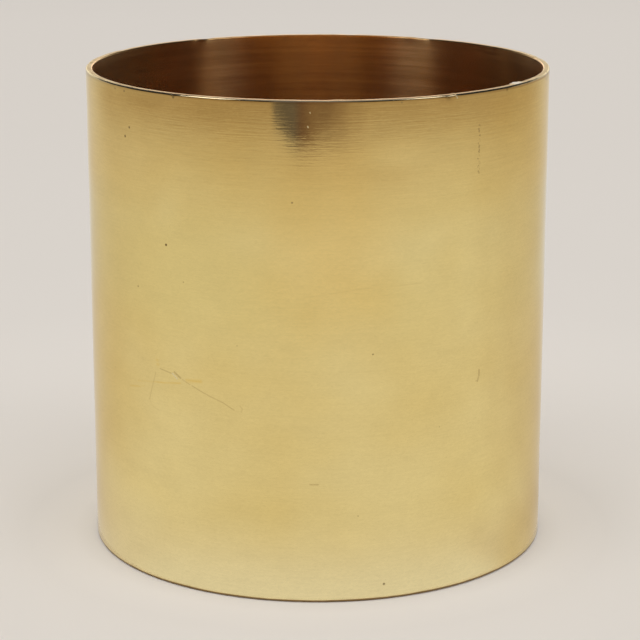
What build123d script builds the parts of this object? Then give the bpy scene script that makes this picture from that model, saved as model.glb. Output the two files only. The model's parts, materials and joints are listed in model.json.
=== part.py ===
from build123d import *
import math
import os

# Brass planter pot (cachepot): a straight length of drawn brass tube, closed at
# the bottom by a flat brass disc that is soft-soldered into a rebate from below.
# Millimetres. +Z is up. Origin: centre of the foot ring, at table level.

# ---------------------------------------------------------------- dimensions
TUBE_OD = 114.3          # outside diameter of the drawn tube (4 1/2 in stock)
TUBE_WALL = 1.65         # wall of the tube (0.065 in stock)
POT_HEIGHT = 119.5       # foot ring to rim

RIM_OUTER_ROUND = 0.35   # edge broken on the outside of the rim
RIM_INNER_ROUND = 0.30   # edge broken on the inside of the rim
FOOT_OUTER_ROUND = 0.40  # edge broken on the outside of the foot
FOOT_INNER_CHAMFER = 0.10

REBATE_DEPTH = 0.70      # how far the seat for the disc is cut into the wall
SEAT_HEIGHT = 3.20       # height of the shoulder that the disc comes up against

DISC_THICKNESS = 2.00    # leaves the disc 1.2 mm clear of the table
DISC_EDGE_CHAMFER = 0.10
SOLDER_GAP = 0.12        # gap round the disc that the solder runs into

SOLDER_LEG_OUT = 0.95    # how far the solder climbs in over the disc
SOLDER_LEG_DOWN = 0.85   # how far the solder runs down the wall
SOLDER_HOLLOW = 0.17     # how far the solder's face dips between its two edges

# ------------------------------------------------------------------- derived
R_OUT = TUBE_OD / 2
R_IN = R_OUT - TUBE_WALL
R_SEAT = R_IN + REBATE_DEPTH
R_DISC = R_SEAT - SOLDER_GAP
Z_DISC_TOP = SEAT_HEIGHT
Z_DISC_UNDER = SEAT_HEIGHT - DISC_THICKNESS
K = 1 - math.sqrt(0.5)   # places the middle point of a quarter round


def turned(outline):
    """Revolve a closed radius/height outline about the pot's axis.

    Each entry is a point (r, z), or a pair (through point, end point) for an arc.
    """
    with BuildPart() as body:
        with BuildSketch(Plane.XZ):
            with BuildLine():
                first = here = outline[0]
                for step in outline[1:]:
                    if isinstance(step[0], tuple):
                        through, end = step
                        ThreePointArc(here, through, end)
                        here = end
                    else:
                        Line(here, step)
                        here = step
                if here != first:
                    Line(here, first)
            make_face()
        revolve(axis=Axis.Z, revolution_arc=360)
    return body.part


# ----------------------------------------------------------------- body tube
# Straight wall, square-cut rim with both edges lightly broken, and a rebate
# turned into the lower end that leaves a narrow foot ring to stand on.
H = POT_HEIGHT
body_tube = turned([
    (R_SEAT + FOOT_INNER_CHAMFER, 0.0),
    (R_OUT - FOOT_OUTER_ROUND, 0.0),
    ((R_OUT - FOOT_OUTER_ROUND * K, FOOT_OUTER_ROUND * K), (R_OUT, FOOT_OUTER_ROUND)),
    (R_OUT, H - RIM_OUTER_ROUND),
    ((R_OUT - RIM_OUTER_ROUND * K, H - RIM_OUTER_ROUND * K), (R_OUT - RIM_OUTER_ROUND, H)),
    (R_IN + RIM_INNER_ROUND, H),
    ((R_IN + RIM_INNER_ROUND * K, H - RIM_INNER_ROUND * K), (R_IN, H - RIM_INNER_ROUND)),
    (R_IN, SEAT_HEIGHT),
    (R_SEAT, SEAT_HEIGHT),
    (R_SEAT, FOOT_INNER_CHAMFER),
])

# ----------------------------------------------------------------- base disc
# Flat disc, pushed up against the shoulder; its top face is the pot's floor.
base_disc = turned([
    (0.0, Z_DISC_UNDER),
    (R_DISC - DISC_EDGE_CHAMFER, Z_DISC_UNDER),
    (R_DISC, Z_DISC_UNDER + DISC_EDGE_CHAMFER),
    (R_DISC, Z_DISC_TOP - DISC_EDGE_CHAMFER),
    (R_DISC - DISC_EDGE_CHAMFER, Z_DISC_TOP),
    (0.0, Z_DISC_TOP),
])

# --------------------------------------------------------------- solder seam
# Fills the gap round the disc and ends in a small hollow-faced bead in the
# corner between the disc's underside and the wall of the rebate.
r0, z0 = R_DISC - SOLDER_LEG_OUT, Z_DISC_UNDER
r1, z1 = R_SEAT, Z_DISC_UNDER - SOLDER_LEG_DOWN
chord = math.hypot(r1 - r0, z1 - z0)
mid = (
    (r0 + r1) / 2 + SOLDER_HOLLOW * (z0 - z1) / chord,
    (z0 + z1) / 2 + SOLDER_HOLLOW * (r1 - r0) / chord,
)
solder_seam = turned([
    (r1, z1),
    (R_SEAT, Z_DISC_TOP),
    (R_DISC - DISC_EDGE_CHAMFER, Z_DISC_TOP),
    (R_DISC, Z_DISC_TOP - DISC_EDGE_CHAMFER),
    (R_DISC, Z_DISC_UNDER + DISC_EDGE_CHAMFER),
    (R_DISC - DISC_EDGE_CHAMFER, Z_DISC_UNDER),
    (r0, z0),
    (mid, (r1, z1)),
])

# -------------------------------------------------------------------- export
PARTS = {
    "body_tube": (body_tube, Color(0.78, 0.62, 0.33)),
    "base_disc": (base_disc, Color(0.72, 0.56, 0.30)),
    "solder_seam": (solder_seam, Color(0.70, 0.69, 0.65)),
}

os.makedirs("parts", exist_ok=True)
for name, (solid, colour) in PARTS.items():
    solid.label = name
    solid.color = colour
    export_step(solid, f"parts/{name}.step")
    box = solid.bounding_box()
    print(name, "volume mm3", round(solid.volume, 1),
          "z", round(box.min.Z, 3), round(box.max.Z, 3), "d", round(box.size.X, 3))
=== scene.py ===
import json
import math

import bmesh
import bpy
import numpy as np
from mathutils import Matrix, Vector


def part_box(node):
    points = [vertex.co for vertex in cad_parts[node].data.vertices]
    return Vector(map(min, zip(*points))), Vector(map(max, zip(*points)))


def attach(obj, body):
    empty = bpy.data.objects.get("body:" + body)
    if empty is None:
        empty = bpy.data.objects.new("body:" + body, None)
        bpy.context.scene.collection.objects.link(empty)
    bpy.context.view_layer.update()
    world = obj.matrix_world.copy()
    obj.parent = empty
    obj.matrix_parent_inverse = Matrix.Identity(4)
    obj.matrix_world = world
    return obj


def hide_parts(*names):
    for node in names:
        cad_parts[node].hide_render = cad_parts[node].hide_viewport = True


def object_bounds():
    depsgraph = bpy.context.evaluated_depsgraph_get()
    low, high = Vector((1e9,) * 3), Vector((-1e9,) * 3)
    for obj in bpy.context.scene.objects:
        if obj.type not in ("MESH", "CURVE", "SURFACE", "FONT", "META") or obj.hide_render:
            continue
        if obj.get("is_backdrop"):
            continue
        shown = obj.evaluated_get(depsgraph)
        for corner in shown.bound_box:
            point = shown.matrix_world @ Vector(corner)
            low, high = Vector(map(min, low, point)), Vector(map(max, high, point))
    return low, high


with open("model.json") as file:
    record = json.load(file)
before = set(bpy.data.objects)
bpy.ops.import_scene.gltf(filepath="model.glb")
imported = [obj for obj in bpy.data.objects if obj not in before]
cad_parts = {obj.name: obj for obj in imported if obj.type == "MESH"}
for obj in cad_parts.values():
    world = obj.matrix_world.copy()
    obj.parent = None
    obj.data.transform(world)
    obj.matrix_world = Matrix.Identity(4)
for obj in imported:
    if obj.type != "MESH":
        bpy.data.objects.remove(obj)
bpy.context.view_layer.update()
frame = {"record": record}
scene = bpy.context.scene

# --------------------------------------------------------------- sizes, in mm
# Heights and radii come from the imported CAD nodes' own boxes.
tube_lo, tube_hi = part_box("body_tube")
disc_lo, disc_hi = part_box("base_disc")
well = next(m for m in frame["record"]["mounts"] if m["name"] == "pot_well")
H = tube_hi[2] * 1000
R_OUT = round(max(tube_hi[0], tube_hi[1]) * 1000, 2)
R_IN = well["dims"]["r_mm"]
Z_FLOOR = disc_hi[2] * 1000            # top of the disc, the pot's floor
Z_UNDER = disc_lo[2] * 1000
R_DISC = round(max(disc_hi[0], disc_hi[1]) * 1000, 2)
R_SEAT = R_DISC + 0.12

rng = np.random.default_rng(7)
PI = math.pi


# ------------------------------------------------------------------- helpers
def smooth(a, b, x):
    t = np.clip((np.asarray(x, float) - a) / (b - a), 0, 1)
    return t * t * (3 - 2 * t)


def turn(deg):
    """The difference between two azimuths, wrapped to -180..180."""
    return (np.asarray(deg) + 180.0) % 360.0 - 180.0


def arc(cr, cz, radius, a0, a1, n):
    """Points on a quarter round, angles in degrees from +r towards +z."""
    a = np.radians(np.linspace(a0, a1, n))
    return [(cr + radius * math.cos(x), cz + radius * math.sin(x)) for x in a]


def span(p, q, n):
    """n points from p up to but not including q."""
    return [(p[0] + (q[0] - p[0]) * k / n, p[1] + (q[1] - p[1]) * k / n) for k in range(n)]


def ripple(seed, theta, z, waves, amp, kt=(1, 6), kz=(0.01, 0.06)):
    """A smooth field over the wall that closes on itself round the pot."""
    g = np.random.default_rng(seed)
    out = np.zeros(np.broadcast(theta, z).shape)
    for _ in range(waves):
        k = g.integers(kt[0], kt[1] + 1)
        w = g.uniform(*kz) * 2 * PI
        out += g.normal() * np.cos(k * theta + w * z + g.uniform(0, 2 * PI))
    return out * amp / math.sqrt(waves)


def new_mesh(name, verts, faces, zones, uvs, mats):
    """A mesh object from arrays: quads and triangles, one material index and one set of map corners per face."""
    me = bpy.data.meshes.new(name)
    me.from_pydata([tuple(v) for v in verts], [], [tuple(f) for f in faces])
    me.validate()
    me.polygons.foreach_set("material_index", np.asarray(zones, np.int32))
    me.polygons.foreach_set("use_smooth", np.ones(len(me.polygons), bool))
    layer = me.uv_layers.new(name="OFBake")
    layer.data.foreach_set("uv", np.asarray(uvs, np.float32).ravel())
    for m in mats:
        me.materials.append(m)
    me.update()
    ob = bpy.data.objects.new(name, me)
    scene.collection.objects.link(ob)
    return ob


# --------------------------------------------------------------------- nodes
class Net:
    """Short names for the shader nodes this file uses."""

    def __init__(self, name):
        self.mat = bpy.data.materials.new(name)
        self.mat.use_nodes = True
        self.nt = self.mat.node_tree
        self.nt.nodes.clear()
        self.out = self.nt.nodes.new("ShaderNodeOutputMaterial")
        self.coord = self.nt.nodes.new("ShaderNodeTexCoord").outputs["Object"]
        self.mm = self.vec("SCALE", self.coord, scale=1000.0)
        sep = self.node("ShaderNodeSeparateXYZ", self.mm)
        self.x, self.y, self.z = sep.outputs

    def put(self, socket, value):
        if isinstance(value, bpy.types.NodeSocket):
            self.nt.links.new(value, socket)
        elif value is not None:
            socket.default_value = value

    def node(self, kind, *inputs, **props):
        n = self.nt.nodes.new(kind)
        for k, v in props.items():
            setattr(n, k, v)
        for i, v in enumerate(inputs):
            self.put(n.inputs[i], v)
        return n

    def math(self, op, a, b=None, c=None, clamp=False):
        n = self.node("ShaderNodeMath", a, b, c, operation=op)
        n.use_clamp = clamp
        return n.outputs[0]

    def vec(self, op, a, b=None, scale=None):
        n = self.node("ShaderNodeVectorMath", operation=op)
        self.put(n.inputs[0], a)
        if b is not None:
            self.put(n.inputs[1], b)
        if scale is not None:
            self.put(n.inputs["Scale"], scale)
        return n.outputs["Value"] if op in ("LENGTH", "DISTANCE", "DOT_PRODUCT") else n.outputs["Vector"]

    def add(self, a, b): return self.math("ADD", a, b)
    def sub(self, a, b): return self.math("SUBTRACT", a, b)
    def mul(self, a, b): return self.math("MULTIPLY", a, b)
    def madd(self, a, b, c): return self.math("MULTIPLY_ADD", a, b, c)

    def total(self, *values):
        out = values[0]
        for v in values[1:]:
            out = self.add(out, v)
        return out

    def combine(self, x, y, z):
        return self.node("ShaderNodeCombineXYZ", x, y, z).outputs[0]

    def stretch(self, x, y, z, vector=None, shift=(0, 0, 0)):
        """The position in mm, scaled on each axis, so that noise runs along some of them."""
        n = self.node("ShaderNodeMapping")
        self.put(n.inputs["Vector"], self.mm if vector is None else vector)
        n.inputs["Scale"].default_value = (x, y, z)
        n.inputs["Location"].default_value = shift
        return n.outputs[0]

    def noise(self, vector, scale=1.0, detail=2.0, rough=0.5, distort=0.0, kind="FBM"):
        n = self.node("ShaderNodeTexNoise")
        n.noise_dimensions = "3D"
        n.noise_type = kind
        n.normalize = True
        self.put(n.inputs["Vector"], vector)
        n.inputs["Scale"].default_value = scale
        n.inputs["Detail"].default_value = detail
        n.inputs["Roughness"].default_value = rough
        n.inputs["Distortion"].default_value = distort
        return n.outputs[0]

    def cells(self, vector, scale, feature="F1", out="Distance", jitter=1.0):
        n = self.node("ShaderNodeTexVoronoi", feature=feature)
        self.put(n.inputs["Vector"], vector)
        n.inputs["Scale"].default_value = scale
        n.inputs["Randomness"].default_value = jitter
        return n.outputs[out]

    def step(self, value, lo, hi, to_lo=0.0, to_hi=1.0):
        n = self.node("ShaderNodeMapRange", interpolation_type="SMOOTHSTEP")
        self.put(n.inputs["Value"], value)
        for k, v in (("From Min", lo), ("From Max", hi), ("To Min", to_lo), ("To Max", to_hi)):
            self.put(n.inputs[k], v)
        return n.outputs[0]

    def ramp(self, value, stops, interpolation="LINEAR"):
        n = self.node("ShaderNodeValToRGB", value)
        n.color_ramp.interpolation = interpolation
        els = n.color_ramp.elements
        while len(els) > 1:
            els.remove(els[-1])
        els[0].position = stops[0][0]
        els[0].color = (*stops[0][1], 1) if isinstance(stops[0][1], tuple) else (stops[0][1],) * 3 + (1,)
        for at, c in stops[1:]:
            e = els.new(at)
            e.color = (*c, 1) if isinstance(c, tuple) else (c,) * 3 + (1,)
        return n.outputs[0]

    def mix(self, factor, a, b, blend="MIX"):
        n = self.node("ShaderNodeMix", data_type="RGBA", blend_type=blend)
        n.clamp_factor = True
        self.put(n.inputs["Factor"], factor)
        for i, v in ((6, a), (7, b)):
            self.put(n.inputs[i], (*v, 1) if isinstance(v, tuple) else v)
        return n.outputs[2]

    def grey(self, value):
        """A number as a colour, for tinting."""
        return self.node("ShaderNodeCombineColor", value, value, value).outputs[0]

    def bump(self, height, distance, normal=None, strength=1.0):
        n = self.node("ShaderNodeBump")
        n.inputs["Strength"].default_value = strength
        n.inputs["Distance"].default_value = distance
        self.put(n.inputs["Height"], height)
        if normal is not None:
            self.put(n.inputs["Normal"], normal)
        return n.outputs[0]

    def metal(self, colour, roughness, normal=None, anisotropic=0.0, tangent=None, metallic=1.0, specular=0.5, edge=(1, 1, 1)):
        p = self.node("ShaderNodeBsdfPrincipled")
        self.put(p.inputs["Base Color"], (*colour, 1) if isinstance(colour, tuple) else colour)
        self.put(p.inputs["Metallic"], metallic)
        self.put(p.inputs["Roughness"], roughness)
        p.inputs["Anisotropic"].default_value = anisotropic
        p.inputs["Anisotropic Rotation"].default_value = 0.25       # the tangent runs round the pot, the blur across it
        p.inputs["Specular IOR Level"].default_value = specular
        p.inputs["Specular Tint"].default_value = (*edge, 1)        # what a metal reflects near its outline
        if normal is not None:
            self.put(p.inputs["Normal"], normal)
        if tangent is not None:
            self.put(p.inputs["Tangent"], tangent)
        self.nt.links.new(p.outputs[0], self.out.inputs["Surface"])
        return p

    def round_tangent(self):
        n = self.node("ShaderNodeTangent", direction_type="RADIAL", axis="Z")
        return n.outputs[0]


# A scratch or a dash on the wall, as a group: how near a point of the unrolled
# wall (s, z in mm) is to the line from A to B, 1 on it and 0 a width away.
def line_group():
    g = bpy.data.node_groups.new("wall_line", "ShaderNodeTree")
    for name, kind in (("S", "NodeSocketFloat"), ("Z", "NodeSocketFloat"), ("A", "NodeSocketVector"),
                       ("B", "NodeSocketVector"), ("Width", "NodeSocketFloat")):
        g.interface.new_socket(name, in_out="INPUT", socket_type=kind)
    g.interface.new_socket("Near", in_out="OUTPUT", socket_type="NodeSocketFloat")
    gi, go = g.nodes.new("NodeGroupInput"), g.nodes.new("NodeGroupOutput")

    def vm(op, *ins):
        n = g.nodes.new("ShaderNodeVectorMath")
        n.operation = op
        for i, v in enumerate(ins):
            g.links.new(v, n.inputs[i])
        return n

    c = g.nodes.new("ShaderNodeCombineXYZ")
    g.links.new(gi.outputs["S"], c.inputs[0])
    g.links.new(gi.outputs["Z"], c.inputs[1])
    pa = vm("SUBTRACT", c.outputs[0], gi.outputs["A"]).outputs[0]
    ba = vm("SUBTRACT", gi.outputs["B"], gi.outputs["A"]).outputs[0]
    d1 = vm("DOT_PRODUCT", pa, ba).outputs["Value"]
    d2 = vm("DOT_PRODUCT", ba, ba).outputs["Value"]
    q = g.nodes.new("ShaderNodeMath")
    q.operation, q.use_clamp = "DIVIDE", True
    g.links.new(d1, q.inputs[0])
    g.links.new(d2, q.inputs[1])
    sc = g.nodes.new("ShaderNodeVectorMath")
    sc.operation = "SCALE"
    g.links.new(ba, sc.inputs[0])
    g.links.new(q.outputs[0], sc.inputs["Scale"])
    dist = vm("DISTANCE", pa, sc.outputs[0]).outputs["Value"]
    mr = g.nodes.new("ShaderNodeMapRange")
    mr.interpolation_type = "SMOOTHSTEP"
    g.links.new(dist, mr.inputs["Value"])
    g.links.new(gi.outputs["Width"], mr.inputs["From Max"])
    mr.inputs["From Min"].default_value = 0.0
    mr.inputs["To Min"].default_value = 1.0
    mr.inputs["To Max"].default_value = 0.0
    g.links.new(mr.outputs[0], go.inputs["Near"])
    return g


LINE = line_group()


def lines(net, s, z, strokes):
    """The strongest of several strokes at a point. Each is (azimuth, z) pairs, a width in mm and a weight."""
    out = None
    for path, width, weight in strokes:
        pts = [(math.radians(a) * R_OUT, h) for a, h in path]
        for p, q in zip(pts, pts[1:]):
            n = net.node("ShaderNodeGroup")
            n.node_tree = LINE
            net.put(n.inputs["S"], s)
            net.put(n.inputs["Z"], z)
            n.inputs["A"].default_value = (*p, 0)
            n.inputs["B"].default_value = (*q, 0)
            n.inputs["Width"].default_value = width
            v = net.mul(n.outputs[0], weight)
            out = v if out is None else net.math("MAXIMUM", out, v)
    return out


# ----------------------------------------------------- marks on the front wall
# (azimuth in degrees from the front, height in mm), width, weight.
GOUGES = [   # darker lines cut through the brushing
    ([(-40.6, 53.5), (-37.1, 53.0)], 0.30, 0.7),
    ([(-36.1, 53.4), (-34.3, 52.3)], 0.42, 0.95),
    ([(-33.7, 52.0), (-31.6, 51.1)], 0.28, 0.50),
    ([(-30.95, 50.9), (-28.2, 49.8), (-26.0, 49.0), (-22.7, 47.9), (-19.9, 46.4)], 0.27, 0.62),
    ([(-18.4, 47.6), (-17.8, 46.9), (-18.1, 46.1)], 0.26, 0.40),
    ([(-42.1, 52.3), (-43.4, 48.6), (-44.5, 45.2)], 0.30, 0.42),
    ([(-44.5, 45.2), (-43.2, 43.6), (-41.5, 43.2)], 0.26, 0.22),
    ([(41.9, 52.9), (41.9, 51.6), (41.4, 50.3)], 0.42, 0.95),
    ([(41.4, 50.3), (40.9, 50.4)], 0.30, 0.6),
    ([(-1.8, 29.3), (0.1, 29.3)], 0.30, 0.8),
]
BURRS_AND_GLINTS = [    # metal turned up beside a cut, and two small specks, painted light as highlights
    ([(-36.7, 53.0), (-35.3, 52.0)], 0.36, 0.75),
    ([(33.1, H - 0.20), (33.7, H - 0.95)], 0.34, 0.9),
    ([(-1.75, 116.8), (-1.65, 116.6)], 0.24, 0.8),
    ([(-2.25, 113.6), (-2.15, 113.4)], 0.30, 0.95),
]
GOLD = [     # yellow rubs lying along the brushing
    ([(-48.7, 49.0), (-42.0, 49.9), (-34.4, 51.0)], 0.36, 0.95),
    ([(-32.4, 51.9), (-28.6, 52.35)], 0.80, 0.9),
    ([(-52.1, 46.9), (-46.4, 48.0)], 0.36, 0.7),
    ([(-41.6, 55.6), (-41.3, 54.2)], 0.9, 0.5),
]
ARCS = [     # faint long hairlines
    ([(-1.8, 74.4), (10.0, 76.0), (24.5, 76.4)], 0.30, 0.5),
    ([(2.6, 55.9), (13.1, 56.4)], 0.30, 0.45),
    ([(14.3, 60.7), (17.7, 61.1)], 0.28, 0.5),
    ([(73.2, 63.6), (75.0, 62.4)], 0.35, 0.9),
    ([(-70.0, 31.0), (-58.0, 30.0), (-47.0, 31.5)], 0.25, 0.3),
]
# dark specks; the one at 50.2 degrees just under the rim is the burr's painted shadow
SPECKS = [   # (azimuth, height, radius, weight)
    (-50.1, 109.9, 0.42, 0.8), (-51.9, 107.6, 0.42, 0.95), (-38.0, 83.8, 0.42, 1.0), (-47.9, 72.3, 0.30, 0.6),
    (-5.8, 96.2, 0.30, 0.5), (15.9, 3.8, 0.42, 0.8), (-56.0, 118.3, 0.35, 0.5), (-51.9, 118.2, 0.42, 0.6),
    (-35.1, 118.6, 0.45, 0.5), (19.3, 118.5, 0.32, 0.35), (-33.0, 75.6, 0.24, 0.4), (50.2, 118.7, 0.5, 0.35),
    (-19.0, 62.0, 0.22, 0.35), (9.5, 21.3, 0.26, 0.4), (30.0, 41.0, 0.22, 0.35),
]


def dots(net, s, z, marks):
    out = None
    p = net.combine(s, z, 0.0)
    for az, h, r, w in marks:
        d = net.vec("DISTANCE", p, (math.radians(az) * R_OUT, h, 0.0))
        v = net.step(d, r * 0.35, r, w, 0.0)
        out = v if out is None else net.math("MAXIMUM", out, v)
    return out


# ----------------------------------------------------------------- materials
def brushed_brass():
    """Outside of the tube: satin yellow brass, brushed round the pot, lightly aged."""
    n = Net("brass_outside")
    s = n.mul(n.math("ARCTAN2", n.x, n.mul(n.y, -1.0)), R_OUT)

    lots = n.noise(n.stretch(0.018, 0.018, 0.022, shift=(3, 1, 7)), 1.0, 2.5, 0.55)       # patches 50 mm across
    some = n.noise(n.stretch(0.11, 0.11, 0.17, shift=(9, 4, 2)), 1.0, 3.0, 0.55, 0.4)      # 6-9 mm
    fine = n.noise(n.stretch(1.0, 1.0, 2.0), 1.0, 3.0, 0.60, 0.7)                          # about half a mm, lying flat
    brush = n.noise(n.stretch(0.045, 0.045, 2.2), 1.0, 2.5, 0.60)                          # long thin lines
    short = n.noise(n.stretch(0.18, 0.18, 3.2, shift=(1, 5, 3)), 1.0, 1.5, 0.55)            # short thin lines
    top = n.step(n.z, 84.0, 117.0)                                                         # brushing is plainest near the rim

    # colour: bright brass through to a warmer, browner patch
    colour = n.mix(n.step(lots, 0.34, 0.70), (0.885, 0.735, 0.345), (0.835, 0.655, 0.262))
    # paler towards the bottom: a painted reflection of the bright table close in front
    colour = n.mix(n.step(n.z, 24.0, 0.0), colour, (0.915, 0.795, 0.45))
    # darker and yellower low on the wall right of the front: a painted reflection of the pot's shadow on the table
    right_foot_shade = n.mul(n.mul(n.step(s, 46.0, 58.0), n.step(s, 82.0, 66.0)), n.step(n.z, 22.0, 6.0))
    colour = n.mix(n.mul(right_foot_shade, 0.65), colour, (0.85, 0.68, 0.29))
    tone = n.total(
        n.mul(n.sub(some, 0.5), 0.12),
        n.mul(n.sub(fine, 0.5), 0.17),
        n.mul(n.sub(brush, 0.5), n.madd(top, 0.07, 0.05)),
        n.mul(n.sub(short, 0.5), n.madd(top, 0.08, 0.05)),
        1.0,
    )
    colour = n.mix(1.0, colour, n.grey(tone), "MULTIPLY")

    # the foot and a band under the deburred top edge are painted darker: a painted reflection of the contact shadow at
    # the foot, and a painted dark reflection under the rim
    rag = n.mul(n.sub(some, 0.5), 0.5)
    foot = n.step(n.add(n.z, n.mul(rag, 0.6)), 0.66, 0.42)
    lip = n.mul(n.step(n.add(n.z, n.mul(rag, 0.4)), H - 1.05, H - 0.72), n.step(n.z, H - 0.22, H - 0.42))
    colour = n.mix(n.mul(foot, 0.90), colour, (0.205, 0.110, 0.034))
    colour = n.mix(n.mul(lip, n.step(lots, 0.30, 0.62, 0.12, 0.45)), colour, (0.36, 0.19, 0.075))

    # a whiter band on the top of the outer round: a painted highlight
    colour = n.mix(n.step(n.z, H - 0.52, H - 0.40, 0.0, 0.8), colour, (0.97, 0.89, 0.70))

    gold = n.mul(lines(n, s, n.z, GOLD), n.step(brush, 0.30, 0.60))
    cut = n.mul(lines(n, s, n.z, GOUGES), n.step(fine, 0.25, 0.55, 0.45, 1.0))
    burr_glint = lines(n, s, n.z, BURRS_AND_GLINTS)
    hair = n.mul(lines(n, s, n.z, ARCS), n.step(some, 0.35, 0.60))
    spots = dots(n, s, n.z, SPECKS)
    # a dried run of drops below the rim, right of the middle
    run_at = n.madd(n.noise(n.combine(0.0, 4.0, n.mul(n.z, 0.9)), 1.0, 1.0), 1.5, math.radians(40.55) * R_OUT - 0.75)
    run_d = n.math("ABSOLUTE", n.sub(s, run_at))
    run_in = n.mul(n.step(n.z, 99.6, 101.0), n.step(n.z, 112.2, 111.4))
    run_dots = n.step(n.noise(n.combine(n.mul(s, 1.3), 2.0, n.mul(n.z, 1.7)), 1.0, 1.0), 0.40, 0.62)
    drops = n.mul(n.mul(n.step(run_d, 0.42, 0.12), run_in), run_dots)
    spots = n.math("MAXIMUM", spots, n.mul(drops, 0.38))
    # sparse random pits, all round the pot
    pit_d = n.cells(n.stretch(1, 1, 1), 0.115)
    pit_on = n.step(n.noise(n.stretch(0.06, 0.06, 0.06, shift=(2, 8, 5)), 1.0, 1.0), 0.55, 0.62)
    pits = n.mul(n.step(pit_d, 0.034, 0.014), pit_on)
    spots = n.math("MAXIMUM", spots, n.mul(pits, 0.7))

    colour = n.mix(n.mul(gold, 0.75), colour, (0.83, 0.58, 0.16))
    colour = n.mix(n.mul(cut, 0.60), colour, (0.42, 0.29, 0.115))
    # painted highlights on the burrs and specks
    colour = n.mix(n.mul(burr_glint, 0.75), colour, (0.97, 0.88, 0.62))
    colour = n.mix(n.mul(hair, 0.30), colour, (0.55, 0.40, 0.16))
    # dark specks, drops and pits; the speck under the rim beside the burr is a painted shadow
    colour = n.mix(n.mul(spots, 0.9), colour, (0.16, 0.10, 0.04))

    rough = n.total(
        n.madd(top, -0.050, 0.095),
        n.mul(n.sub(lots, 0.5), 0.03),
        n.mul(n.sub(some, 0.5), 0.04),
        n.mul(n.sub(fine, 0.5), 0.05),
        n.mul(n.sub(brush, 0.5), 0.03),
        n.mul(cut, 0.12),
        n.mul(spots, 0.30),
        n.mul(foot, 0.12),
        n.mul(n.step(n.z, H - 0.58, H - 0.40), 0.09),
        n.mul(burr_glint, 0.35),
    )
    height = n.total(
        n.mul(brush, n.madd(top, 0.18, 0.14)),
        n.mul(short, n.madd(top, 0.36, 0.05)),
        n.mul(fine, 0.18),
        n.mul(some, 0.9),
        n.mul(cut, -1.6),
    )
    n.metal(colour, rough, n.bump(height, 6.0e-6), anisotropic=0.4, tangent=n.round_tangent(), edge=(0.95, 0.92, 0.89))
    return n.mat


def raised(n):
    """Where a knock on the rim has thrown up a burr, right of the front: bright metal, painted whitish as a highlight.
    """
    s = n.mul(n.math("ARCTAN2", n.x, n.mul(n.y, -1.0)), R_OUT)
    away = n.math("ABSOLUTE", n.sub(s, math.radians(56.3) * R_OUT))
    return n.mul(n.step(away, 2.3, 1.2), n.step(n.z, H - 0.75, H - 0.45))


def inner_brass():
    """Inside of the tube: never polished, browned, with the marks of the boring tool."""
    n = Net("brass_inside")
    lots = n.noise(n.stretch(0.02, 0.02, 0.03, shift=(5, 2, 1)), 1.0, 3.0, 0.55)
    some = n.noise(n.stretch(0.10, 0.10, 0.14, shift=(4, 4, 4)), 1.0, 3.0, 0.6, 0.5)
    lines_ = n.noise(n.stretch(0.012, 0.012, 0.95), 1.0, 4.0, 0.62)
    thin = n.noise(n.stretch(0.04, 0.04, 4.2, shift=(7, 7, 1)), 1.0, 2.0, 0.6)
    colour = n.mix(n.step(lots, 0.32, 0.70), (0.745, 0.555, 0.325), (0.685, 0.485, 0.265))
    tone = n.total(1.0, n.mul(n.sub(lines_, 0.5), 0.55), n.mul(n.sub(thin, 0.5), 0.25), n.mul(n.sub(some, 0.5), 0.22))
    colour = n.mix(1.0, colour, n.grey(tone), "MULTIPLY")
    # a water line and drips from plants that stood in it, and darker towards the bottom corner
    low = n.step(n.add(n.z, n.mul(n.sub(some, 0.5), 5.0)), Z_FLOOR + 9.0, Z_FLOOR + 1.0)
    colour = n.mix(n.mul(low, 0.5), colour, (0.22, 0.13, 0.055))
    tide = n.add(n.z, n.mul(n.sub(lots, 0.5), 7.0))
    ring = n.mul(n.step(tide, Z_FLOOR + 17.2, Z_FLOOR + 18.0), n.step(tide, Z_FLOOR + 19.2, Z_FLOOR + 18.2))
    colour = n.mix(n.mul(ring, n.step(some, 0.35, 0.65, 0.15, 0.55)), colour, (0.62, 0.52, 0.36))
    knock_glint = raised(n)
    # the burr painted whitish: a painted highlight
    colour = n.mix(n.mul(knock_glint, 0.85), colour, (0.95, 0.90, 0.82))
    rough = n.total(0.22, n.mul(knock_glint, 0.2), n.mul(n.sub(lines_, 0.5), 0.10), n.mul(n.sub(some, 0.5), 0.06), n.mul(low, 0.14), n.mul(ring, 0.15))
    height = n.total(n.mul(lines_, 1.3), n.mul(thin, 0.8), n.mul(some, 1.0))
    n.metal(colour, rough, n.bump(height, 9.0e-6), anisotropic=0.93, tangent=n.round_tangent(), metallic=n.madd(knock_glint, -0.85, 0.98))
    return n.mat


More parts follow.
